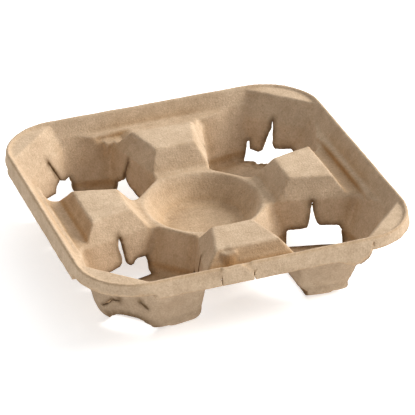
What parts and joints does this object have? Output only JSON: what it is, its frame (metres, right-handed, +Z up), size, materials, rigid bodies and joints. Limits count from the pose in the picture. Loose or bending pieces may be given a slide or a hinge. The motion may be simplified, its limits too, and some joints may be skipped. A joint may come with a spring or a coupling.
{
  "type": "cup carrier",
  "caption": "Square moulded-pulp cup carrier with tapered corner pockets, slit flaps, hollow humps, a central dish and a turned-down rim.",
  "frame": {"origin": "on the table under the middle of the tray", "axes": "+X to the right along the front edge, +Y away from the front edge, +Z up"},
  "size_m": [0.216, 0.216, 0.048],
  "materials": {
    "pulp": "matte felted pulp"
  },
  "bodies": {
    "root": {"cup_carrier": "pulp"}
  },
  "joints": []
}
